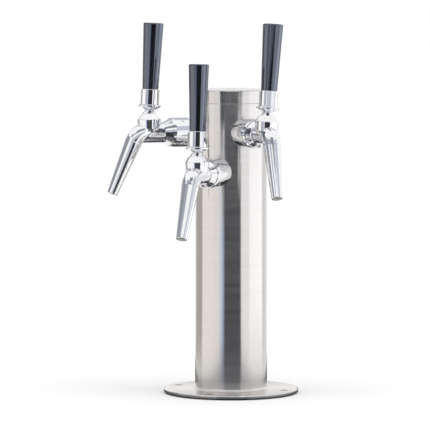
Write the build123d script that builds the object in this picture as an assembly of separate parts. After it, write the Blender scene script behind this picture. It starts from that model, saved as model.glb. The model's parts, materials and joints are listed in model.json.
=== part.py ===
from build123d import *
from math import cos, radians, sin, tan
import os

# Three-tap beer tower: a round stainless column on a flange that is screwed to a worktop, and
# three forward-sealing faucets on short shanks through the column's wall.
#
# Frame, in millimetres: Z is the column's axis, z = 0 is the worktop that the gasket lies on,
# and the centre tap points along -Y. Each tap is modelled as the centre one, with its shank's
# axis on -Y at z = 0, and is then turned about the column and lifted to its height. In a tap,
# "reach" is the distance from the column's axis, measured along the shank. The toothed
# coupling lets a faucet be set at a small roll about its shank, and the right one has such a roll.

# ---- driving dimensions: column, cap and base ----
COLUMN_R = 38.1
COLUMN_WALL = 1.5
TOWER_HEIGHT = 321.0
CAP_HEIGHT = 14.0
CAP_ROOF = 1.8
CAP_EDGE = 1.2
SEAM_CHAMFER = 0.35
CAP_PLUG_WALL = 3.6
CAP_PLUG_DEPTH = 9.0
CAP_SEAL_R = 1.0
CAP_SEAL_DEPTH = 4.5
FLANGE_R = 71.0
FLANGE_THICK = 3.2
FLANGE_EDGE = 1.2
GASKET_THICK = 1.5
GASKET_INSET = 1.0
PASSAGE_R = 32.0
SPIGOT_HEIGHT = 10.0
FOAM_INNER_R = 30.0
FOAM_TOP = 290.0
FOAM_NOTCH_R = 17.0

# ---- driving dimensions: base screws ----
SCREW_CIRCLE_R = 60.0
SCREW_COUNT = 4
SCREW_R = 2.4
SCREW_NECK_R = 2.2
SCREW_HOLE_R = 2.75
SCREW_REACH = 16.0
SCREW_POINT = 5.0
SCREW_POINT_R = 0.4
HEAD_R = 4.8
HEAD_HEIGHT = 2.5
HEAD_SINK = 0.1
CROSS_LENGTH = 5.2
CROSS_WIDTH = 1.1
CROSS_DEPTH = 1.7

# ---- driving dimensions: where the taps are ----
OUTER_TAP_ANGLE = 45.0
OUTER_TAP_Z = 277.0
CENTRE_TAP_Z = 235.5
RIGHT_TAP_ROLL = 5.0
TAPS = {
    "left": (-OUTER_TAP_ANGLE, OUTER_TAP_Z),
    "centre": (0.0, CENTRE_TAP_Z),
    "right": (OUTER_TAP_ANGLE, OUTER_TAP_Z),
}
FAUCET_ROLL = {"left": 0.0, "centre": 0.0, "right": RIGHT_TAP_ROLL}

# ---- driving dimensions: gaps between pieces ----
THREAD_GAP = 0.05
FIT_GAP = 0.1
SLOT_GAP = 0.25

# ---- driving dimensions: shank, collar and coupling ----
SHANK_R = 11.1
SHANK_HOLE_R = 11.3
SHANK_BORE_R = 3.2
SHANK_TAIL = 23.0
SHANK_FRONT = 59.4
SHANK_FLANGE_R = 13.4
SHANK_FLANGE_THICK = 4.0
COLLAR_R = 14.8
COLLAR_FRONT = 51.0
COLLAR_EDGE = 1.6
NUT_R = 15.5
NUT_THREAD_R = 14.1
NUT_REAR = 51.2
NUT_FRONT = 70.5
NUT_LIP = 4.0
NUT_NOSE_R = 14.7
NUT_NOSE = 3.0
NUT_EDGE = 0.7
SPANNER_HOLES = 4
SPANNER_HOLE_R = 2.2
SPANNER_HOLE_DEPTH = 0.8
SPANNER_REACH = 59.5
WASHER_THICK = 1.6
WASHER_R = 11.0
WASHER_HOLE_R = 4.6
SADDLE_R = 14.0
SADDLE_REAR = 32.0
LOCKNUT_ACROSS = 27.0
LOCKNUT_THICK = 6.0
TAIL_TUBE_R = 4.0
TAIL_TUBE_WALL = 1.1
TAIL_SOCKET = 8.0
TAIL_STUB = 0.5
TAIL_BEND_R = 9.5
TAIL_DROP = 22.0

# ---- driving dimensions: faucet body and spout ----
LEVER_REACH = 92.8
BARREL_R = 10.5
BODY_THREAD_R = 13.9
SHOULDER_REAR = 70.9
SHOULDER_FRONT = 78.0
SHOULDER_BLEND = 6.0
CHAMBER_R = 6.3
SEAT_REACH = 98.8
SEAT_LENGTH = 3.6
SEAT_R = 5.1
ELBOW_START = 96.5
ELBOW_R = 15.0
ELBOW_STRAIGHT = 2.0
PASSAGE_BEND_R = 10.0
SPOUT_TILT = 24.0
SPOUT_LENGTH = 57.3
SPOUT_TOP_R = 9.2
SPOUT_TIP_R = 5.8
SPOUT_TIP_EDGE = 0.4
SPOUT_BORE_R = 4.8
SPIGOT_R = 7.0
SPIGOT_LENGTH = 5.0
RING_R = 0.8

# ---- driving dimensions: turret, ball and bonnet, as heights over the shank's axis ----
PIVOT_Z = 17.0
BALL_R = 8.0
TURRET_FOOT_R = 8.0
TURRET_FOOT_Z = -4.0
TURRET_BASE_R = 12.0
TURRET_SKIRT_Z = 4.5
TURRET_BASE_Z = 10.7
TURRET_R = 10.5
TURRET_TOP_Z = 15.1
TURRET_BORE_R = 8.7
TURRET_FLOOR_Z = 9.5
LEVER_SLOT_HALF = 3.5
LEVER_SLOT_REAR = 9.5
LEVER_SLOT_FRONT = 5.0
BALL_SEAT_HOLE_R = 7.0
BONNET_R = 12.5
BONNET_CORNER_Z = 14.0
BONNET_LIP_R = 8.4
BONNET_TOP_Z = 20.0
BONNET_EDGE = 0.8
SEAL_POCKET_R = 9.7
SEAL_POCKET_TOP_Z = 16.95
SEAL_CENTRE_R = 8.87
SEAL_CENTRE_Z = 16.1
SEAL_R = 0.78

# ---- driving dimensions: lever and handle, as heights over the ball's centre ----
LEVER_LEAN = 3.0
ARM_LENGTH = 13.5
ARM_ROOT_R = 2.6
ARM_ROOT = 6.0
ARM_TIP_R = 2.0
TIP_BALL_R = 2.9
STEM_R = 4.2
STEM_TOP = 20.0
HOURGLASS_FOOT = 7.0
HOURGLASS_FOOT_R = 5.4
HOURGLASS_RIM_R = 12.0
HOURGLASS_RIM = 10.4
HOURGLASS_TOP = 12.2
HOURGLASS_EDGE = 0.6
FERRULE_R = 9.8
FERRULE_TOP = 28.5
FERRULE_EDGE = 0.5
FERRULE_SOCKET = 20.4
BOLT_R = 3.9
BOLT_FOOT = 21.0
BOLT_TOP = 52.0
HANDLE_FOOT_R = 8.4
HANDLE_TOP_R = 10.6
HANDLE_TOP = 97.5
HANDLE_SOCKET = 53.0
HANDLE_EDGE = 1.2
HANDLE_FOOT_EDGE = 0.5

# ---- driving dimensions: shuttle, with the lever at rest ----
SHUTTLE_R = 6.0
SHUTTLE_FLAT = 4.8
SHUTTLE_REAR = 75.8
GUIDE_LENGTH = 4.0
GUIDE_FLUTES = 4
GUIDE_FLUTE_R = 1.8
SHUTTLE_STEM_R = 2.6
YOKE_WALL = 2.6
YOKE_FRONT = 98.4
SLOT_HALF_WIDTH = 3.2
PLUG_R = 4.9
PLUG_FRONT = 102.2
PLUG_NOSE = 0.8
RING_REACH = 100.4
GROOVE_HALF = 0.85

# ---- worked out from the driving dimensions ----
COLUMN_BORE_R = COLUMN_R - COLUMN_WALL
FLANGE_TOP = GASKET_THICK + FLANGE_THICK
SPIGOT_TOP = FLANGE_TOP + SPIGOT_HEIGHT
SEAM_Z = TOWER_HEIGHT - CAP_HEIGHT
CAP_PLUG_R = COLUMN_BORE_R - FIT_GAP
CAP_SEAL_Z = SEAM_Z - CAP_SEAL_DEPTH
BODY_REAR = SHANK_FRONT + WASHER_THICK
BEND_ANGLE = 90.0 - SPOUT_TILT
BEND_CORNER = ELBOW_START + ELBOW_R * tan(radians(BEND_ANGLE / 2))
MOUTH = BEND_CORNER - ELBOW_START + ELBOW_STRAIGHT
MOUTH_REACH = BEND_CORNER + MOUTH * sin(radians(SPOUT_TILT))
MOUTH_Z = -MOUTH * cos(radians(SPOUT_TILT))
TIP_REACH = LEVER_REACH + ARM_LENGTH * sin(radians(LEVER_LEAN))
SLOT_HALF = TIP_BALL_R + SLOT_GAP


# ---- shapes that the pieces share ----
def turn(outline):
    """A solid of revolution about Z, from a closed outline of (radius, height) points."""
    wire = Polyline([(radius, 0, height) for radius, height in outline], close=True)
    return revolve(make_face(wire), Axis.Z)


def tube(outer, inner, low, high):
    """A plain ring or sleeve on Z."""
    return turn([(inner, low), (outer, low), (outer, high), (inner, high)])


def rod(radius, low, high):
    """A plain cylinder on Z."""
    return turn([(0, low), (radius, low), (radius, high), (0, high)])


def seal_ring(centre_r, section_r, height):
    """An O-ring round Z."""
    return Pos(0, 0, height) * Torus(centre_r, section_r)


def rim(solid, radius, height):
    """The circular edge round Z that has this radius and height."""
    near = 1e-3
    circles = solid.edges().filter_by(GeomType.CIRCLE)
    return circles.filter_by(
        lambda edge: abs(edge.radius - radius) < near and abs(edge.arc_center.Z - height) < near
    )


def on_shank(solid):
    """Lays a solid along the tap, its Z becoming the reach."""
    return Rot(90, 0, 0) * solid


def on_turret(solid):
    """Stands a solid on the turret's upright axis, with heights over the shank's axis."""
    return Pos(0, -LEVER_REACH, 0) * solid


def on_lever(solid):
    """Puts a solid on the lever's leaning axis, with heights over the ball's centre."""
    return Pos(0, -LEVER_REACH, PIVOT_Z) * Rot(-LEVER_LEAN, 0, 0) * solid


def on_spout(solid):
    """Puts a solid on the spout's axis, its Z being the distance down from the body's mouth."""
    return Pos(0, -MOUTH_REACH, MOUTH_Z) * Rot(180 - SPOUT_TILT, 0, 0) * solid


def column_cylinder(radius):
    """The space inside one radius of the column's axis, in a tap's own frame."""
    return Cylinder(radius, 2 * COLUMN_R)


def placed(solid, tap):
    """Turns and lifts a piece of the centre tap to where the named tap is."""
    angle, height = TAPS[tap]
    return Pos(0, 0, height) * Rot(0, 0, angle) * solid


def rolled(solid, tap):
    """Places a piece of the faucet, which has the roll that its coupling was set at."""
    return placed(Rot(0, FAUCET_ROLL[tap], 0) * solid, tap)


def one_per_tap(solid, put):
    """Three copies of one small piece, each a separate solid."""
    return Compound([put(solid, tap).solid() for tap in TAPS])


# ---- column, cap and base ----
def column_tube():
    body = tube(COLUMN_R, COLUMN_BORE_R, FLANGE_TOP, SEAM_Z)
    body = chamfer(rim(body, COLUMN_R, SEAM_Z), SEAM_CHAMFER)
    hole = on_shank(rod(SHANK_HOLE_R, SADDLE_REAR, COLUMN_R + COLUMN_WALL))
    for tap in TAPS:
        body -= placed(hole, tap)
    return body


def top_cap():
    cap = rod(COLUMN_R, SEAM_Z, TOWER_HEIGHT)
    cap -= rod(COLUMN_BORE_R, SEAM_Z, TOWER_HEIGHT - CAP_ROOF)
    cap = fillet(rim(cap, COLUMN_R, TOWER_HEIGHT), CAP_EDGE)
    return chamfer(rim(cap, COLUMN_R, SEAM_Z), SEAM_CHAMFER)


def cap_plug():
    """The nylon ring bonded in the cap, which is pushed into the column's top."""
    high = TOWER_HEIGHT - CAP_ROOF - FIT_GAP
    body = tube(CAP_PLUG_R, CAP_PLUG_R - CAP_PLUG_WALL, SEAM_Z - CAP_PLUG_DEPTH, high)
    groove_r = CAP_PLUG_R - 2 * CAP_SEAL_R
    return body - tube(COLUMN_R, groove_r, CAP_SEAL_Z - CAP_SEAL_R, CAP_SEAL_Z + CAP_SEAL_R)


def cap_seal():
    return seal_ring(CAP_PLUG_R - CAP_SEAL_R, CAP_SEAL_R - THREAD_GAP, CAP_SEAL_Z)


def screw_cone(top_r, foot_r):
    """A countersunk head's cone, flush with the flange's top face."""
    foot = FLANGE_TOP - HEAD_HEIGHT
    return turn([(0, foot), (foot_r, foot), (top_r, FLANGE_TOP), (0, FLANGE_TOP)])


def base_flange():
    plate = tube(FLANGE_R, PASSAGE_R, GASKET_THICK, FLANGE_TOP)
    plate = fillet(rim(plate, FLANGE_R, FLANGE_TOP), FLANGE_EDGE)
    plate += tube(COLUMN_BORE_R - THREAD_GAP, PASSAGE_R, FLANGE_TOP, SPIGOT_TOP)
    sink = screw_cone(HEAD_R + FIT_GAP, SCREW_HOLE_R)
    for place in PolarLocations(SCREW_CIRCLE_R, SCREW_COUNT):
        plate -= place * rod(SCREW_HOLE_R, 0, FLANGE_TOP)
        plate -= place * sink
    return plate


def base_gasket():
    sheet = tube(FLANGE_R - GASKET_INSET, PASSAGE_R, 0, GASKET_THICK)
    for place in PolarLocations(SCREW_CIRCLE_R, SCREW_COUNT):
        sheet -= place * rod(SCREW_HOLE_R, 0, GASKET_THICK)
    return sheet


def base_screws():
    """Countersunk screws with a cross recess, whose points go down into the worktop."""
    screw = screw_cone(HEAD_R, SCREW_NECK_R) + turn([
        (0, -SCREW_REACH),
        (SCREW_POINT_R, -SCREW_REACH),
        (SCREW_R, SCREW_POINT - SCREW_REACH),
        (SCREW_R, HEAD_SINK),
        (SCREW_NECK_R, HEAD_SINK),
        (SCREW_NECK_R, FLANGE_TOP - HEAD_HEIGHT),
        (0, FLANGE_TOP - HEAD_HEIGHT),
    ])
    slot = Pos(0, 0, FLANGE_TOP) * Box(CROSS_LENGTH, CROSS_WIDTH, 2 * CROSS_DEPTH)
    screw -= slot
    screw -= Rot(0, 0, 90) * slot
    screw = Pos(0, 0, -HEAD_SINK) * screw
    return Compound([(place * screw).solid() for place in PolarLocations(SCREW_CIRCLE_R, SCREW_COUNT)])


def insulation_sleeve():
    """The foam tube that lines the column, notched to slide down past the shanks."""
    body = tube(COLUMN_BORE_R - 2 * FIT_GAP, FOAM_INNER_R, SPIGOT_TOP, FOAM_TOP)
    notch = on_shank(rod(FOAM_NOTCH_R, 0, COLUMN_R))
    for tap in TAPS:
        body -= placed(notch, tap)
    return body


# ---- shank, collar and coupling ----
def shank():
    flange_rear = SHANK_FRONT - SHANK_FLANGE_THICK
    body = rod(SHANK_R, SHANK_TAIL, flange_rear) + rod(SHANK_FLANGE_R, flange_rear, SHANK_FRONT)
    body -= rod(SHANK_BORE_R, SHANK_TAIL, SHANK_FRONT)
    body -= rod(TAIL_TUBE_R + THREAD_GAP, SHANK_TAIL, SHANK_TAIL + TAIL_SOCKET)
    return on_shank(body)


def shank_collar():
    """The collar outside the column, with its back curved to sit on the wall."""
    body = tube(COLLAR_R, SHANK_HOLE_R, SHANK_TAIL, COLLAR_FRONT)
    body = fillet(rim(body, COLLAR_R, COLLAR_FRONT), COLLAR_EDGE)
    return on_shank(body) - column_cylinder(COLUMN_R + THREAD_GAP)


def locknut_saddle():
    """The curved washer between the column's inner wall and the locknut."""
    body = on_shank(tube(SADDLE_R, SHANK_HOLE_R, SADDLE_REAR, COLUMN_R))
    return body & column_cylinder(COLUMN_BORE_R - THREAD_GAP)


def shank_locknut():
    rear = SADDLE_REAR - LOCKNUT_THICK
    hexagon = RegularPolygon(LOCKNUT_ACROSS / 2, 6, major_radius=False)
    body = Pos(0, 0, rear) * extrude(hexagon, LOCKNUT_THICK)
    return on_shank(body - rod(SHANK_R + THREAD_GAP, rear, SADDLE_REAR))


def tail_elbow():
    """The stainless tube brazed into the shank, which turns down to take the beer line."""
    start = SHANK_TAIL + TAIL_SOCKET
    corner = SHANK_TAIL - TAIL_STUB - TAIL_BEND_R
    route = FilletPolyline(
        (0, -start, 0),
        (0, -corner, 0),
        (0, -corner, -TAIL_BEND_R - TAIL_DROP),
        radius=TAIL_BEND_R,
    )
    entry = Plane(origin=(0, -start, 0), z_dir=(0, 1, 0))
    outside = sweep(entry * Circle(TAIL_TUBE_R), path=route)
    return outside - sweep(entry * Circle(TAIL_TUBE_R - TAIL_TUBE_WALL), path=route)


def coupling_nut():
    bore = SHANK_R + SLOT_GAP
    body = turn([
        (bore, NUT_REAR),
        (NUT_R, NUT_REAR),
        (NUT_R, NUT_FRONT - NUT_NOSE),
        (NUT_NOSE_R, NUT_FRONT),
        (NUT_THREAD_R, NUT_FRONT),
        (NUT_THREAD_R, NUT_REAR + NUT_LIP),
        (bore, NUT_REAR + NUT_LIP),
    ])
    body = fillet(rim(body, NUT_R, NUT_REAR), NUT_EDGE)
    body = fillet(rim(body, NUT_R, NUT_FRONT - NUT_NOSE), NUT_EDGE)
    hole = Pos(0, 0, SPANNER_REACH) * Rot(0, 90, 0) * rod(SPANNER_HOLE_R, NUT_R - SPANNER_HOLE_DEPTH, COLUMN_R)
    for place in PolarLocations(0, SPANNER_HOLES, start_angle=180 / SPANNER_HOLES):
        body -= place * hole
    return on_shank(body)


def coupling_washer():
    return on_shank(tube(WASHER_R, WASHER_HOLE_R, SHANK_FRONT, BODY_REAR))


# ---- faucet body and spout ----
def elbow_route(bend_r):
    """The beer's way round the elbow: along the barrel, then down to the spout's mouth."""
    return FilletPolyline(
        (0, -SHOULDER_FRONT, 0),
        (0, -BEND_CORNER, 0),
        (0, -MOUTH_REACH, MOUTH_Z),
        radius=bend_r,
    )


def elbow():
    """The bent front of the body, which narrows from the barrel to the spout's mouth."""
    arc = elbow_route(ELBOW_R).edges()[1]
    first = Plane(origin=arc @ 0, z_dir=arc % 0) * Circle(BARREL_R)
    last = Plane(origin=arc @ 1, z_dir=arc % 1) * Circle(SPOUT_TOP_R)
    return sweep([first, last], path=arc, multisection=True)


def turret_block():
    return turn([
        (0, TURRET_FOOT_Z),
        (TURRET_FOOT_R, TURRET_FOOT_Z),
        (TURRET_BASE_R, TURRET_SKIRT_Z),
        (TURRET_BASE_R, TURRET_BASE_Z),
        (TURRET_R, TURRET_BASE_Z),
        (TURRET_R, TURRET_TOP_Z),
        (0, TURRET_TOP_Z),
    ])


def body_outside():
    rear = turn([
        (0, BODY_REAR),
        (BODY_THREAD_R, BODY_REAR),
        (BODY_THREAD_R, SHOULDER_REAR),
        (BARREL_R, SHOULDER_FRONT),
        (BARREL_R, ELBOW_START),
        (0, ELBOW_START),
    ])
    rear = fillet(rim(rear, BARREL_R, SHOULDER_FRONT), SHOULDER_BLEND)
    straight = rod(SPOUT_TOP_R, -ELBOW_STRAIGHT, 0)
    return on_shank(rear) + elbow() + on_spout(straight) + on_turret(turret_block())


def lever_slot():
    length = LEVER_SLOT_REAR + LEVER_SLOT_FRONT
    middle = LEVER_REACH + (LEVER_SLOT_FRONT - LEVER_SLOT_REAR) / 2
    return Pos(0, -middle, TURRET_FLOOR_Z / 2) * Box(2 * LEVER_SLOT_HALF, length, TURRET_FLOOR_Z)


def faucet_body():
    body = body_outside()
    body -= on_shank(rod(CHAMBER_R, BODY_REAR, SEAT_REACH))
    body -= on_shank(rod(SEAT_R, SEAT_REACH, SEAT_REACH + SEAT_LENGTH))
    start = Plane(origin=(0, -SHOULDER_FRONT, 0), z_dir=(0, -1, 0))
    body -= sweep(start * Circle(SPOUT_BORE_R), path=elbow_route(PASSAGE_BEND_R))
    body -= on_spout(rod(SPIGOT_R + THREAD_GAP, -SPIGOT_LENGTH - FIT_GAP, 0))
    body -= on_turret(rod(TURRET_BORE_R, TURRET_FLOOR_Z, TURRET_TOP_Z))
    return body - lever_slot()


def spout():
    groove_z = -SPIGOT_LENGTH / 2
    body = turn([
        (SPOUT_BORE_R, -SPIGOT_LENGTH),
        (SPIGOT_R, -SPIGOT_LENGTH),
        (SPIGOT_R, 0),
        (SPOUT_TOP_R, 0),
        (SPOUT_TIP_R, SPOUT_LENGTH),
        (SPOUT_BORE_R, SPOUT_LENGTH),
    ])
    body = fillet(rim(body, SPOUT_TIP_R, SPOUT_LENGTH), SPOUT_TIP_EDGE)
    body = chamfer(rim(body, SPOUT_TOP_R, 0), SEAM_CHAMFER)
    body -= tube(BARREL_R, SPIGOT_R - 2 * RING_R, groove_z - RING_R, groove_z + RING_R)
    return on_spout(body)


def spout_oring():
    return on_spout(seal_ring(SPIGOT_R - RING_R, RING_R - THREAD_GAP, -SPIGOT_LENGTH / 2))


# ---- ball joint ----
def ball_space():
    return Pos(0, 0, PIVOT_Z) * Sphere(BALL_R + FIT_GAP)


def ball_seat():
    """The acetal ring in the turret that the lever's ball turns on."""
    top = TURRET_TOP_Z - FIT_GAP
    body = tube(TURRET_BORE_R - THREAD_GAP, BALL_SEAT_HOLE_R, TURRET_FLOOR_Z, top)
    return on_turret(body - ball_space())


def lever_seal():
    return on_turret(seal_ring(SEAL_CENTRE_R, SEAL_R, SEAL_CENTRE_Z))


def bonnet():
    """The threaded cone that holds the ball down on its seat."""
    foot = TURRET_BASE_Z + FIT_GAP
    body = turn([
        (0, foot),
        (BONNET_R, foot),
        (BONNET_R, BONNET_CORNER_Z),
        (BONNET_LIP_R, BONNET_TOP_Z),
        (0, BONNET_TOP_Z),
    ])
    body = fillet(rim(body, BONNET_R, BONNET_CORNER_Z), BONNET_EDGE)
    body -= rod(TURRET_R + THREAD_GAP, foot, TURRET_TOP_Z + FIT_GAP)
    body -= rod(SEAL_POCKET_R, TURRET_TOP_Z, SEAL_POCKET_TOP_Z)
    return on_turret(body - ball_space())


# ---- lever and handle ----
def lever():
    """The ball, the stem above it, and the arm below it that moves the shuttle."""
    arm = turn([
        (0, -ARM_LENGTH),
        (ARM_TIP_R, -ARM_LENGTH),
        (ARM_ROOT_R, -ARM_ROOT),
        (0, -ARM_ROOT),
    ])
    stem = rod(STEM_R, ARM_ROOT, STEM_TOP)
    tip = Pos(0, 0, -ARM_LENGTH) * Sphere(TIP_BALL_R)
    return on_lever(Sphere(BALL_R) + arm + stem + tip)


def lever_collar():
    """The flared collar over the ball, which the handle's ferrule is tightened onto."""
    bore = STEM_R + THREAD_GAP
    body = turn([
        (bore, HOURGLASS_FOOT),
        (HOURGLASS_FOOT_R, HOURGLASS_FOOT),
        (HOURGLASS_RIM_R, HOURGLASS_RIM),
        (HOURGLASS_RIM_R, HOURGLASS_TOP),
        (bore, HOURGLASS_TOP),
    ])
    body = fillet(rim(body, HOURGLASS_RIM_R, HOURGLASS_TOP), HOURGLASS_EDGE)
    body = fillet(rim(body, HOURGLASS_RIM_R, HOURGLASS_RIM), HOURGLASS_EDGE)
    return on_lever(body)


def handle_ferrule():
    body = rod(FERRULE_R, HOURGLASS_TOP, FERRULE_TOP)
    body = fillet(rim(body, FERRULE_R, FERRULE_TOP), FERRULE_EDGE)
    body = fillet(rim(body, FERRULE_R, HOURGLASS_TOP), FERRULE_EDGE)
    body -= rod(STEM_R + THREAD_GAP, HOURGLASS_TOP, FERRULE_SOCKET)
    body -= rod(BOLT_R + THREAD_GAP, FERRULE_SOCKET, FERRULE_TOP)
    return on_lever(body)


def handle_bolt():
    return on_lever(rod(BOLT_R, BOLT_FOOT, BOLT_TOP))


def tap_handle():
    body = turn([
        (0, FERRULE_TOP),
        (HANDLE_FOOT_R, FERRULE_TOP),
        (HANDLE_TOP_R, HANDLE_TOP),
        (0, HANDLE_TOP),
    ])
    body = fillet(rim(body, HANDLE_TOP_R, HANDLE_TOP), HANDLE_EDGE)
    body = fillet(rim(body, HANDLE_FOOT_R, FERRULE_TOP), HANDLE_FOOT_EDGE)
    return on_lever(body - rod(BOLT_R + THREAD_GAP, FERRULE_TOP, HANDLE_SOCKET))


# ---- shuttle ----
def shuttle():
    """The sliding valve: a fluted guide, a yoke round the lever's tip, and a plug."""
    yoke_rear = TIP_REACH - SLOT_HALF - YOKE_WALL
    guide = rod(SHUTTLE_R, SHUTTLE_REAR, SHUTTLE_REAR + GUIDE_LENGTH)
    for place in PolarLocations(SHUTTLE_R, GUIDE_FLUTES):
        guide -= place * rod(GUIDE_FLUTE_R, SHUTTLE_REAR, SHUTTLE_REAR + GUIDE_LENGTH)
    stem = rod(SHUTTLE_STEM_R, SHUTTLE_REAR, yoke_rear)
    flats = Box(2 * SHUTTLE_FLAT, 2 * SHUTTLE_R, 2 * YOKE_FRONT)
    yoke = rod(SHUTTLE_R, yoke_rear, YOKE_FRONT) & flats
    plug = rod(PLUG_R, YOKE_FRONT, PLUG_FRONT)
    plug = chamfer(rim(plug, PLUG_R, PLUG_FRONT), PLUG_NOSE)
    plug -= tube(SEAT_R, PLUG_R - 2 * RING_R, RING_REACH - GROOVE_HALF, RING_REACH + GROOVE_HALF)
    slot = Pos(0, -TIP_REACH, SHUTTLE_R) * Box(2 * SLOT_HALF_WIDTH, 2 * SLOT_HALF, 2 * SHUTTLE_R)
    return on_shank(guide + stem + yoke + plug) - slot


def shuttle_oring():
    return on_shank(seal_ring(SEAT_R - FIT_GAP - RING_R, RING_R, RING_REACH))


TOWER_PIECES = {
    "column_tube": column_tube,
    "top_cap": top_cap,
    "cap_plug": cap_plug,
    "cap_seal": cap_seal,
    "base_flange": base_flange,
    "base_gasket": base_gasket,
    "base_screws": base_screws,
    "insulation_sleeve": insulation_sleeve,
}
COUPLING_PIECES = {
    "shank": shank,
    "shank_collar": shank_collar,
    "tail_elbow": tail_elbow,
    "coupling_nut": coupling_nut,
}
FAUCET_PIECES = {
    "faucet_body": faucet_body,
    "spout": spout,
    "bonnet": bonnet,
    "ball_seat": ball_seat,
    "lever": lever,
    "lever_collar": lever_collar,
    "handle_ferrule": handle_ferrule,
    "handle_bolt": handle_bolt,
    "tap_handle": tap_handle,
    "shuttle": shuttle,
    "shuttle_oring": shuttle_oring,
}
COUPLING_SETS = {
    "shank_locknuts": shank_locknut,
    "locknut_saddles": locknut_saddle,
    "coupling_washers": coupling_washer,
}
FAUCET_SETS = {
    "lever_seals": lever_seal,
    "spout_orings": spout_oring,
}


def write(name, solid):
    export_step(solid, f"parts/{name}.step")


os.makedirs("parts", exist_ok=True)
for name, make in TOWER_PIECES.items():
    write(name, make())
for pieces, sets, put in [
    (COUPLING_PIECES, COUPLING_SETS, placed),
    (FAUCET_PIECES, FAUCET_SETS, rolled),
]:
    for name, make in pieces.items():
        piece = make()
        for tap in TAPS:
            write(f"{name}_{tap}", put(piece, tap))
    for name, make in sets.items():
        write(name, one_per_tap(make(), put))
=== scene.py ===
"""A round stainless beer tower with three taps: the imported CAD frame, its looks, a weld and a plain studio.

Lengths are metres and angles are degrees, unless a name says otherwise.
"""
import json
import math

import bmesh
import bpy
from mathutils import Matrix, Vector


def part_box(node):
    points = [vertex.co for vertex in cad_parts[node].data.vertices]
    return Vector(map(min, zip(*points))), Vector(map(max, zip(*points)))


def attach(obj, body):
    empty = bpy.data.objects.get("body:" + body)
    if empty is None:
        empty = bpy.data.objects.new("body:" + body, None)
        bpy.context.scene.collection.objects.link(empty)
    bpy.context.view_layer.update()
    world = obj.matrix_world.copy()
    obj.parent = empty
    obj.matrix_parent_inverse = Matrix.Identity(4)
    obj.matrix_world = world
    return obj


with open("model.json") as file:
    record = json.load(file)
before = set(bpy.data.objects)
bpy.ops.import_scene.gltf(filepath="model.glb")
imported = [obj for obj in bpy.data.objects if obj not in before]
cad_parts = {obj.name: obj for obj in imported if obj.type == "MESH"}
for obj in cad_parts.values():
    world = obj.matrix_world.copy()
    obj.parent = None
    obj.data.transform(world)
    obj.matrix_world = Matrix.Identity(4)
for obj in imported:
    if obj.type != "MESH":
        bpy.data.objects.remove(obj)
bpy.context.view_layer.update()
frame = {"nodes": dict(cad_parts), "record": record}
NODES = frame["nodes"]

TAPS = ("left", "centre", "right")
MOUNTS = {mount["name"]: mount for mount in frame["record"]["mounts"]}
TUBE_LOW, TUBE_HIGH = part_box("column_tube")
COLUMN_R = TUBE_HIGH.x
FLANGE_TOP = TUBE_LOW.z

MICRON = 1e-6


def placed(name, data):
    """A new object in the scene."""
    made = bpy.data.objects.new(name, data)
    bpy.context.scene.collection.objects.link(made)
    return made


# ---------------------------------------------------------------- node-tree helpers

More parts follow.
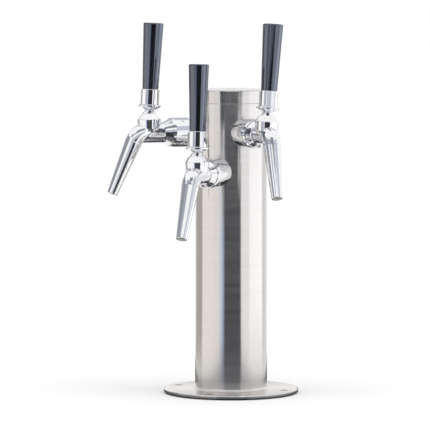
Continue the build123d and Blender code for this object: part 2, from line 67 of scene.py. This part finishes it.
class Shader:
    """One procedural material, built node by node around a Principled BSDF."""

    def __init__(self, name, **sockets):
        self.material = bpy.data.materials.new(name)
        self.material.use_nodes = True
        self.tree = self.material.node_tree
        self.bsdf = self.tree.nodes["Principled BSDF"]
        self.coords = self.node("ShaderNodeTexCoord").outputs["Object"]
        for socket, value in sockets.items():
            self.bsdf.inputs[socket.replace("_", " ")].default_value = value

    def node(self, kind, inputs=None, **settings):
        made = self.tree.nodes.new(kind)
        for key, value in settings.items():
            setattr(made, key, value)
        for key, value in (inputs or {}).items():
            if isinstance(value, bpy.types.NodeSocket):
                self.tree.links.new(value, made.inputs[key])
            else:
                made.inputs[key].default_value = value
        return made

    def feed(self, socket, output):
        self.tree.links.new(output, self.bsdf.inputs[socket])

    def math(self, operation, *values):
        return self.node("ShaderNodeMath", dict(enumerate(values)), operation=operation).outputs[0]

    def vector_math(self, operation, *values, result="Vector"):
        made = self.node("ShaderNodeVectorMath", dict(enumerate(values)), operation=operation)
        return made.outputs[result]

    def weighted(self, *terms):
        """The sum of the values, each times its weight, from (value, weight) terms."""
        total, *others = [self.math("MULTIPLY", value, weight) for value, weight in terms]
        for other in others:
            total = self.math("ADD", total, other)
        return total

    def turned(self):
        """Coordinates whose Z is height plus distance from the column's axis.

        Lines of equal Z are rings: one above another on a tube, one inside another on a disc.
        """
        flat = self.vector_math("MULTIPLY", self.coords, (1, 1, 0))
        reach = self.vector_math("LENGTH", flat, result="Value")
        out = self.node("ShaderNodeCombineXYZ", {"Z": reach}).outputs["Vector"]
        return self.vector_math("ADD", self.coords, out)

    def near_line(self, point, direction, radius):
        """1 where the surface is within radius of the line, 0 elsewhere."""
        off = self.vector_math("SUBTRACT", self.coords, point)
        across = self.vector_math("CROSS_PRODUCT", off, direction)
        return self.math("LESS_THAN", self.vector_math("LENGTH", across, result="Value"), radius)

    def noise(self, vector, scale, detail, roughness=0.55):
        inputs = {"Vector": vector, "Scale": scale, "Detail": detail, "Roughness": roughness}
        return self.node("ShaderNodeTexNoise", inputs).outputs["Fac"]

    def drawn_noise(self, vector, scales, detail, rotation=(0, 0, 0)):
        """Noise with a scale for each axis, drawn out along the lowest. rotation is in radians."""
        inputs = {"Vector": vector, "Scale": scales, "Rotation": rotation}
        stretched = self.node("ShaderNodeMapping", inputs).outputs["Vector"]
        return self.noise(stretched, 1.0, detail)

    def span(self, value, low, high, starts=0.3, ends=0.7):
        """low to high, as the value goes from where it starts to where it ends."""
        inputs = {"Value": value, "From Min": starts, "From Max": ends, "To Min": low, "To Max": high}
        return self.node("ShaderNodeMapRange", inputs).outputs["Result"]

    def shades(self, value, first, last, starts=0.3, ends=0.7):
        """The first colour to the last, as the value goes from where it starts to where it ends."""
        ramp = self.node("ShaderNodeValToRGB", {"Fac": value})
        for element, place, colour in zip(ramp.color_ramp.elements, (starts, ends), (first, last)):
            element.position = place
            element.color = (*colour, 1.0)
        return ramp.outputs["Color"]

    def bump(self, height, distance, strength, under=None):
        inputs = {"Height": height, "Distance": distance, "Strength": strength}
        if under is not None:
            inputs["Normal"] = under
        return self.node("ShaderNodeBump", inputs).outputs["Normal"]


# ---------------------------------------------------------------- materials

CAST_ROUGHNESS = 0.6
CAST_METALLIC = 0.2


def brushed_steel():
    """Tube and discs brushed round the column's axis: fine rings, reflections drawn out across them."""
    s = Shader("brushed_stainless_look", Metallic=1.0, Anisotropic=0.85, Anisotropic_Rotation=0.25)
    turned = s.turned()
    rings = s.drawn_noise(turned, scales=(10, 10, 5200), detail=2.0)
    bands = s.drawn_noise(turned, scales=(9, 9, 900), detail=3.0)
    streaks = s.drawn_noise(turned, scales=(7, 7, 240), detail=3.0)
    cloud = s.noise(s.coords, scale=16.0, detail=4.0)
    wear = s.weighted((bands, 0.3), (cloud, 0.3), (streaks, 0.4))
    s.feed("Base Color", s.shades(wear, (0.685, 0.660, 0.635), (0.735, 0.710, 0.685), starts=0.36, ends=0.64))
    uneven = s.math("ADD", s.span(cloud, -0.015, 0.02), s.span(streaks, -0.011, 0.017))
    s.feed("Roughness", s.math("ADD", s.span(rings, 0.175, 0.225), uneven))
    s.feed("Normal", s.bump(rings, distance=1.2 * MICRON, strength=0.5))
    s.feed("Tangent", s.node("ShaderNodeTangent", direction_type="RADIAL", axis="Z").outputs["Tangent"])
    return s.material


def polished_steel(name="polished_stainless_look", bore=None):
    """Hand-polished casting: a mirror with faint waviness, hairlines and dulled patches.

    bore is (a point on its axis, its direction, its radius): inside it the metal is left as cast.
    """
    s = Shader(name, Metallic=1.0)
    wave = s.noise(s.coords, scale=90.0, detail=1.0)
    hair = s.drawn_noise(s.coords, scales=(2600, 160, 420), detail=2.0, rotation=(0.5, 0.3, 0.8))
    dull = s.noise(s.coords, scale=55.0, detail=5.0, roughness=0.62)
    colour = s.shades(dull, (0.83, 0.83, 0.845), (0.89, 0.89, 0.905))
    roughness = s.math("ADD", s.span(dull, 0.03, 0.085), s.span(hair, 0.0, 0.02))
    if bore is not None:
        inside = s.near_line(*bore)
        cast = s.shades(dull, (0.56, 0.56, 0.55), (0.68, 0.68, 0.67))
        either = {"Fac": inside, "Color1": colour, "Color2": cast}
        colour = s.node("ShaderNodeMixRGB", either).outputs["Color"]
        roughness = s.math("MAXIMUM", roughness, s.math("MULTIPLY", inside, CAST_ROUGHNESS))
        s.feed("Metallic", s.math("SUBTRACT", 1.0, s.math("MULTIPLY", inside, 1.0 - CAST_METALLIC)))
    s.feed("Base Color", colour)
    s.feed("Roughness", roughness)
    waviness = s.bump(wave, distance=60 * MICRON, strength=0.35)
    s.feed("Normal", s.bump(hair, distance=1.2 * MICRON, strength=0.35, under=waviness))
    return s.material


def ferrule_chrome():
    """Plated ferrule: cleaner and brighter than the castings."""
    s = Shader("chromed_ferrule_look", Metallic=1.0)
    wave = s.noise(s.coords, scale=120.0, detail=1.0)
    film = s.noise(s.coords, scale=70.0, detail=4.0)
    s.feed("Base Color", s.shades(film, (0.84, 0.85, 0.87), (0.89, 0.89, 0.90)))
    s.feed("Roughness", s.span(film, 0.02, 0.06))
    s.feed("Normal", s.bump(wave, distance=30 * MICRON, strength=0.3))
    return s.material


def turned_steel():
    """Machined parts, nearly all out of sight: tool marks and a satin shine."""
    s = Shader("turned_stainless_look", Metallic=1.0)
    marks = s.noise(s.coords, scale=700.0, detail=2.0)
    grain = s.noise(s.coords, scale=240.0, detail=4.0)
    s.feed("Base Color", s.shades(grain, (0.52, 0.51, 0.50), (0.62, 0.61, 0.60)))
    s.feed("Roughness", s.span(marks, 0.24, 0.40))
    s.feed("Normal", s.bump(marks, distance=20 * MICRON, strength=0.4))
    return s.material


def screw_steel():
    """Base screws: a darker steel with a fine grain."""
    s = Shader("screw_steel_look", Metallic=1.0)
    grain = s.noise(s.coords, scale=900.0, detail=4.0)
    cloud = s.noise(s.coords, scale=220.0, detail=3.0)
    s.feed("Base Color", s.shades(cloud, (0.34, 0.335, 0.33), (0.50, 0.49, 0.48)))
    s.feed("Roughness", s.span(grain, 0.26, 0.42))
    s.feed("Normal", s.bump(grain, distance=10 * MICRON, strength=0.5))
    return s.material


def handle_black():
    """Moulded black handle: deep gloss over a faint orange peel, with rubbed patches."""
    s = Shader("black_handle_look", IOR=2.45, Specular_Tint=(0.74, 0.82, 1.0, 1.0))
    peel = s.noise(s.coords, scale=480.0, detail=2.0)
    rub = s.noise(s.coords, scale=42.0, detail=5.0, roughness=0.6)
    speck = s.noise(s.coords, scale=1500.0, detail=2.0)
    s.feed("Base Color", s.shades(rub, (0.002, 0.002, 0.0035), (0.005, 0.005, 0.008)))
    s.feed("Roughness", s.math("ADD", s.span(rub, 0.05, 0.10), s.span(speck, 0.0, 0.02)))
    s.feed("Normal", s.bump(peel, distance=12 * MICRON, strength=0.5))
    return s.material


def acetal():
    """Ball seats, saddles and the cap's plug: off-white plastic that lets a little light in."""
    s = Shader("acetal_look", Subsurface_Weight=0.15, Subsurface_Scale=0.002)
    grain = s.noise(s.coords, scale=300.0, detail=4.0)
    s.feed("Base Color", s.shades(grain, (0.76, 0.75, 0.70), (0.83, 0.82, 0.78)))
    s.feed("Roughness", s.span(grain, 0.38, 0.52))
    s.feed("Normal", s.bump(grain, distance=20 * MICRON, strength=0.4))
    return s.material


def black_rubber():
    """Gasket, washers and seals: matt, with a faint bloom."""
    s = Shader("black_rubber_look")
    grain = s.noise(s.coords, scale=1400.0, detail=4.0)
    bloom = s.noise(s.coords, scale=60.0, detail=4.0)
    s.feed("Base Color", s.shades(bloom, (0.014, 0.014, 0.014), (0.032, 0.031, 0.030)))
    s.feed("Roughness", s.span(grain, 0.55, 0.78))
    s.feed("Normal", s.bump(grain, distance=30 * MICRON, strength=0.6))
    return s.material


def cell_foam():
    """Insulation: dark open cells about a millimetre across."""
    s = Shader("foam_look", Roughness=0.92)
    cells = s.node("ShaderNodeTexVoronoi", {"Vector": s.coords, "Scale": 900.0}).outputs["Distance"]
    cloud = s.noise(s.coords, scale=40.0, detail=4.0)
    s.feed("Base Color", s.shades(cloud, (0.05, 0.05, 0.055), (0.09, 0.09, 0.095)))
    s.feed("Normal", s.bump(cells, distance=400 * MICRON, strength=0.8))
    return s.material


LOOKS = {
    "brushed_stainless": brushed_steel(),
    "polished_stainless": polished_steel(),
    "chromed_ferrule": ferrule_chrome(),
    "turned_stainless": turned_steel(),
    "screw_steel": screw_steel(),
    "black_handle": handle_black(),
    "acetal": acetal(),
    "black_rubber": black_rubber(),
    "foam": cell_foam(),
}


# ---------------------------------------------------------------- the CAD pieces' looks

BORE_MARGIN = 0.00005  # metal this far outside a bore's stated radius still counts as its wall


def dress(node, material):
    """Shows a CAD node in a material."""
    for slot in NODES[node].material_slots:
        slot.material = material


for part in frame["record"]["subparts"]:
    dress(part["node"], LOOKS[part["material_slot"]])

for tap in TAPS:
    outlet = MOUNTS["spout_outlet_" + tap]
    bore_r = outlet["dims"]["r_mm"] / 1000 + BORE_MARGIN
    dress("spout_" + tap, polished_steel("spout_look_" + tap, (outlet["pos_m"], outlet["axis"], bore_r)))


# ---------------------------------------------------------------- the weld at the column's foot

WELD_LEG = 0.0022
WELD_SUNK = 0.00005  # how far its root reaches into the tube and the flange
WELD_RIPPLE = 0.00005
WELD_RIPPLES = 150
STEPS_PER_RIPPLE = 6
WELD_ARC_STEPS = 6


def weld_section(swell):
    """The (radius, height) points round the weld's section: its sunk root's corners, then its hollow face.

    swell is how far the face stands out there from the plain hollow.
    """
    root_r, root_z = COLUMN_R - WELD_SUNK, FLANGE_TOP - WELD_SUNK
    toe_r, toe_z = COLUMN_R + WELD_LEG, FLANGE_TOP + WELD_LEG
    root = [(root_r, toe_z), (root_r, root_z), (toe_r, root_z)]
    face = []
    for k in range(WELD_ARC_STEPS + 1):
        a = math.radians(90.0 * k / WELD_ARC_STEPS)
        reach = WELD_LEG - (swell if 0 < k < WELD_ARC_STEPS else 0.0)
        face.append((toe_r - reach * math.sin(a), toe_z - reach * math.cos(a)))
    return root, face


def weld_bead(name):
    """A hollow fillet all round the tube's foot, its face faintly rippled as the torch left it."""
    mesh = bmesh.new()
    steps = WELD_RIPPLES * STEPS_PER_RIPPLE
    rings = []
    for i in range(steps):
        turn = 2 * math.pi * i / steps
        root, face = weld_section(WELD_RIPPLE * math.cos(WELD_RIPPLES * turn))
        rings.append([mesh.verts.new((r * math.cos(turn), r * math.sin(turn), z)) for r, z in root + face])
    for ring, following in zip(rings, rings[1:] + rings[:1]):
        for k in range(len(ring)):
            after = (k + 1) % len(ring)
            quad = mesh.faces.new((ring[k], ring[after], following[after], following[k]))
            quad.smooth = len(root) <= k < len(ring) - 1
    bmesh.ops.recalc_face_normals(mesh, faces=mesh.faces)
    data = bpy.data.meshes.new(name)
    mesh.to_mesh(data)
    mesh.free()
    return placed(name, data)


foot_weld = weld_bead("foot_weld")
foot_weld.data.materials.append(LOOKS["brushed_stainless"])
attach(foot_weld, "tower")


# ---------------------------------------------------------------- studio helpers

CAMERA_PLACE = Vector((1.3886, -3.3979, 0.4713))
CAMERA_AIM = Vector((-0.006, -0.03, 0.190))
CAMERA_LENS_MM = 292.0
CAMERA_CLIP = (0.1, 200)
CAMERA_AZIMUTH = math.degrees(math.atan2(CAMERA_PLACE.x, -CAMERA_PLACE.y))

FLOOR_HALF = 60
# painted shade: the floor's colour next to the tower, darker to offset the lamps' stronger light there
FLOOR_NEAR_PAINTED_SHADE = (0.70, 0.70, 0.70)
FLOOR_FAR = (0.97, 0.97, 0.97)
FLOOR_PAINTED_SHADE_FADE = (0.15, 2.6)  # the distances from the tower where the near colour, painted darker against the stronger lamplight there, ends and the far one starts

SKY_STRENGTH = 1.05
LAMP_AIM = Vector((0, 0, 0.2))

WALL_RADIUS = 5.0
WALL_EYE = 0.25  # the height on the tower's axis that elevations are measured from
WALL_LOWEST = 0.001
APRON_INNER = 0.30
APRON_OUTER = 4.9
APRON_HEIGHT = 0.0006
DECK_HEIGHT = 0.0009
DECK_CORNERS = ((-0.13, -0.30), (0.13, -0.30), (0.13, 0.42), (-0.13, 0.42))
CARD_STEPS = 16


def pale_floor():
    """A pale sweep with painted shade: a shade deeper round the tower, where the light is strongest, so the
    lamps' brightness evens out across it.
    """
    s = Shader("pale_floor_painted_shade_look", Roughness=1.0, Specular_IOR_Level=0.0)
    away = s.vector_math("LENGTH", s.coords, result="Value")
    cloud = s.noise(s.coords, scale=1.5, detail=3.0)
    # painted shade: the colour darkens towards the tower, to cancel the stronger lamplight near it
    place = s.math("ADD", s.span(away, 0.0, 1.0, *FLOOR_PAINTED_SHADE_FADE), s.span(cloud, -0.01, 0.01))
    s.feed("Base Color", s.shades(place, FLOOR_NEAR_PAINTED_SHADE, FLOOR_FAR, starts=0.0, ends=1.0))
    return s.material


def staged(name, points, faces, material):
    """A mesh of the studio, which is no part of the object."""
    mesh = bpy.data.meshes.new(name)
    mesh.from_pydata(points, [], faces)
    mesh.materials.append(material)
    made = placed(name, mesh)
    return made


def aim(made, place, target):
    """Puts a lamp or a camera at a place, looking at the target."""
    made.location = place
    made.rotation_mode = "QUATERNION"
    made.rotation_quaternion = (target - made.location).to_track_quat("-Z", "Y")


def around(azimuth, radius, height):
    """The point at that azimuth from the camera's own, at that distance from the column's axis."""
    a = math.radians(CAMERA_AZIMUTH + azimuth)
    return (math.sin(a) * radius, -math.cos(a) * radius, height)


def glowing(name, points, faces, colour):
    """A card that shows only in reflections, and lights nothing."""
    s = Shader(name + "_glow", Base_Color=(0, 0, 0, 1), Roughness=1.0, Specular_IOR_Level=0.0,
               Emission_Color=(*colour, 1.0), Emission_Strength=1.0)
    made = staged(name, points, faces, s.material)
    made.visible_camera = made.visible_diffuse = made.visible_shadow = False


def card(name, azimuths, edges, colour):
    """A curved card between two azimuths, from one (radius, height) edge to the other."""
    first, last = azimuths
    points = []
    for radius, height in edges:
        for i in range(CARD_STEPS + 1):
            points.append(around(first + (last - first) * (i / CARD_STEPS), radius, height))
    row = CARD_STEPS + 1
    faces = [(i, i + 1, row + i + 1, row + i) for i in range(CARD_STEPS)]
    glowing(name, points, faces, colour)


def wall(name, azimuths, elevations, colour):
    """A card that stands round the tower, between two elevations."""
    heights = (WALL_EYE + WALL_RADIUS * math.tan(math.radians(e)) for e in elevations)
    card(name, azimuths, [(WALL_RADIUS, max(WALL_LOWEST, height)) for height in heights], colour)


def apron(name, azimuths, colour, inner=APRON_INNER):
    """A card that lies on the floor."""
    card(name, azimuths, [(inner, APRON_HEIGHT), (APRON_OUTER, APRON_HEIGHT)], colour)


def softbox(name, azimuth, distance, height, size, power, colour):
    """A soft lamp that no reflection shows."""
    light = bpy.data.lights.new(name, "AREA")
    light.shape = "RECTANGLE"
    light.size, light.size_y = size
    light.energy = power
    light.color = colour
    made = placed(name, light)
    made.visible_camera = made.visible_glossy = False
    aim(made, around(azimuth, distance, height), LAMP_AIM)


def daylight(value):
    """The cool white of a window's side."""
    return (0.985 * value, value, 1.035 * value)


def dusk(value):
    """The cool dark of an unlit studio."""
    return (0.93 * value, 0.98 * value, 1.10 * value)


FRONT = (-22, 30)
LINE = (-29, -22)
EDGE = (-36, -29)
LEFT = (-104, -36)
LEFT_BACK = (-150, -104)
RIGHT = (34, 60)
RIGHT_SIDE = (60, 116)
RIGHT_BACK = (116, 150)
BACK = (168, 192)

LINE_BLUE = (0.42, 0.52, 0.78)
EDGE_BLUE = (0.80, 0.88, 1.04)
WARM_WHITE = (1.08, 1.05, 1.03)
WARM_BRIGHT = (1.12, 1.09, 1.07)
WARM_GREY = (0.50, 0.48, 0.47)


# ---------------------------------------------------------------- floor, sky and lamps

corners = [(x * FLOOR_HALF, y * FLOOR_HALF, 0) for x, y in ((-1, -1), (1, -1), (1, 1), (-1, 1))]
staged("floor", corners, [(0, 1, 2, 3)], pale_floor())

world = bpy.data.worlds.new("studio")
bpy.context.scene.world = world
world.use_nodes = True
sky = world.node_tree.nodes["Background"].inputs
sky["Color"].default_value = (1.0, 1.0, 1.0, 1.0)
sky["Strength"].default_value = SKY_STRENGTH

softbox("left_softbox", -80, distance=2.6, height=1.4, size=(2.4, 2.0), power=22, colour=(1.0, 0.96, 0.93))
softbox("right_softbox", 75, distance=2.6, height=1.4, size=(2.4, 2.0), power=28, colour=(1.0, 1.0, 0.99))
softbox("top_softbox", 0, distance=0.6, height=2.6, size=(2.0, 2.0), power=20, colour=(1.0, 1.0, 1.0))


# ---------------------------------------------------------------- reflected cards: azimuths, then elevations

# the dark studio in front, which is the band down the column
wall("front_wall", FRONT, (-5, 5), dusk(0.035))
wall("front_mid_wall", FRONT, (5, 22), dusk(0.60))
apron("front_apron", (-22, 31), dusk(0.040), inner=0.02)

# the blue line along the band's left edge
wall("left_line_wall", LINE, (-5, 3), LINE_BLUE)
apron("left_line_apron", LINE, LINE_BLUE)
wall("left_edge_wall", EDGE, (-5, 1), EDGE_BLUE)
apron("left_edge_apron", EDGE, EDGE_BLUE)

# the warm light on the left
wall("left_near_wall", (-58, -29), (1, 10), dusk(0.50))
wall("left_low_wall", LEFT, (-5, 1), WARM_WHITE)
wall("left_mid_wall", (-104, -58), (1, 9), WARM_BRIGHT)
apron("left_apron", LEFT, WARM_WHITE)
wall("left_back_wall", LEFT_BACK, (-5, 8), WARM_GREY)
apron("left_back_apron", LEFT_BACK, WARM_GREY)

# the darker upper room
wall("left_high_wall", (-130, -58), (10, 32), dusk(0.34))
wall("left_upper_wall", (-58, -22), (30, 45), dusk(0.45))
wall("front_high_wall", (-22, 28), (37, 60), dusk(0.30))

# the window side on the right
wall("right_near_wall", (34, 62), (-1, 9), daylight(1.0))
wall("right_upper_wall", (34, 74), (14, 45), dusk(0.64))
wall("right_low_wall", RIGHT, (-5, -1), daylight(1.25))
apron("right_apron", RIGHT, daylight(1.1), inner=0.60)
wall("right_side_wall", RIGHT_SIDE, (-5, -1), daylight(1.9))
apron("right_side_apron", RIGHT_SIDE, daylight(1.5), inner=0.60)
wall("right_mid_wall", (62, 116), (-1, 12), daylight(0.85))
wall("right_back_wall", RIGHT_BACK, (-5, -1), daylight(0.84))
apron("right_back_apron", RIGHT_BACK, daylight(0.84))

# the dark back of the room
wall("back_wall", BACK, (-5, 2), dusk(0.16))
wall("back_high_wall", (145, 215), (24, 60), dusk(0.58))
apron("back_apron", BACK, dusk(0.16))

# a dark mat under the tower
deck = [around(math.degrees(math.atan2(x, y)), math.hypot(x, y), DECK_HEIGHT) for x, y in DECK_CORNERS]
glowing("deck", deck, [(0, 1, 2, 3)], dusk(0.10))


# ---------------------------------------------------------------- camera

camera_data = bpy.data.cameras.new("camera")
camera_data.lens = CAMERA_LENS_MM
camera_data.clip_start, camera_data.clip_end = CAMERA_CLIP
camera = placed("camera", camera_data)
aim(camera, CAMERA_PLACE, CAMERA_AIM)
bpy.context.scene.camera = camera
bpy.context.scene.view_settings.view_transform = "Standard"
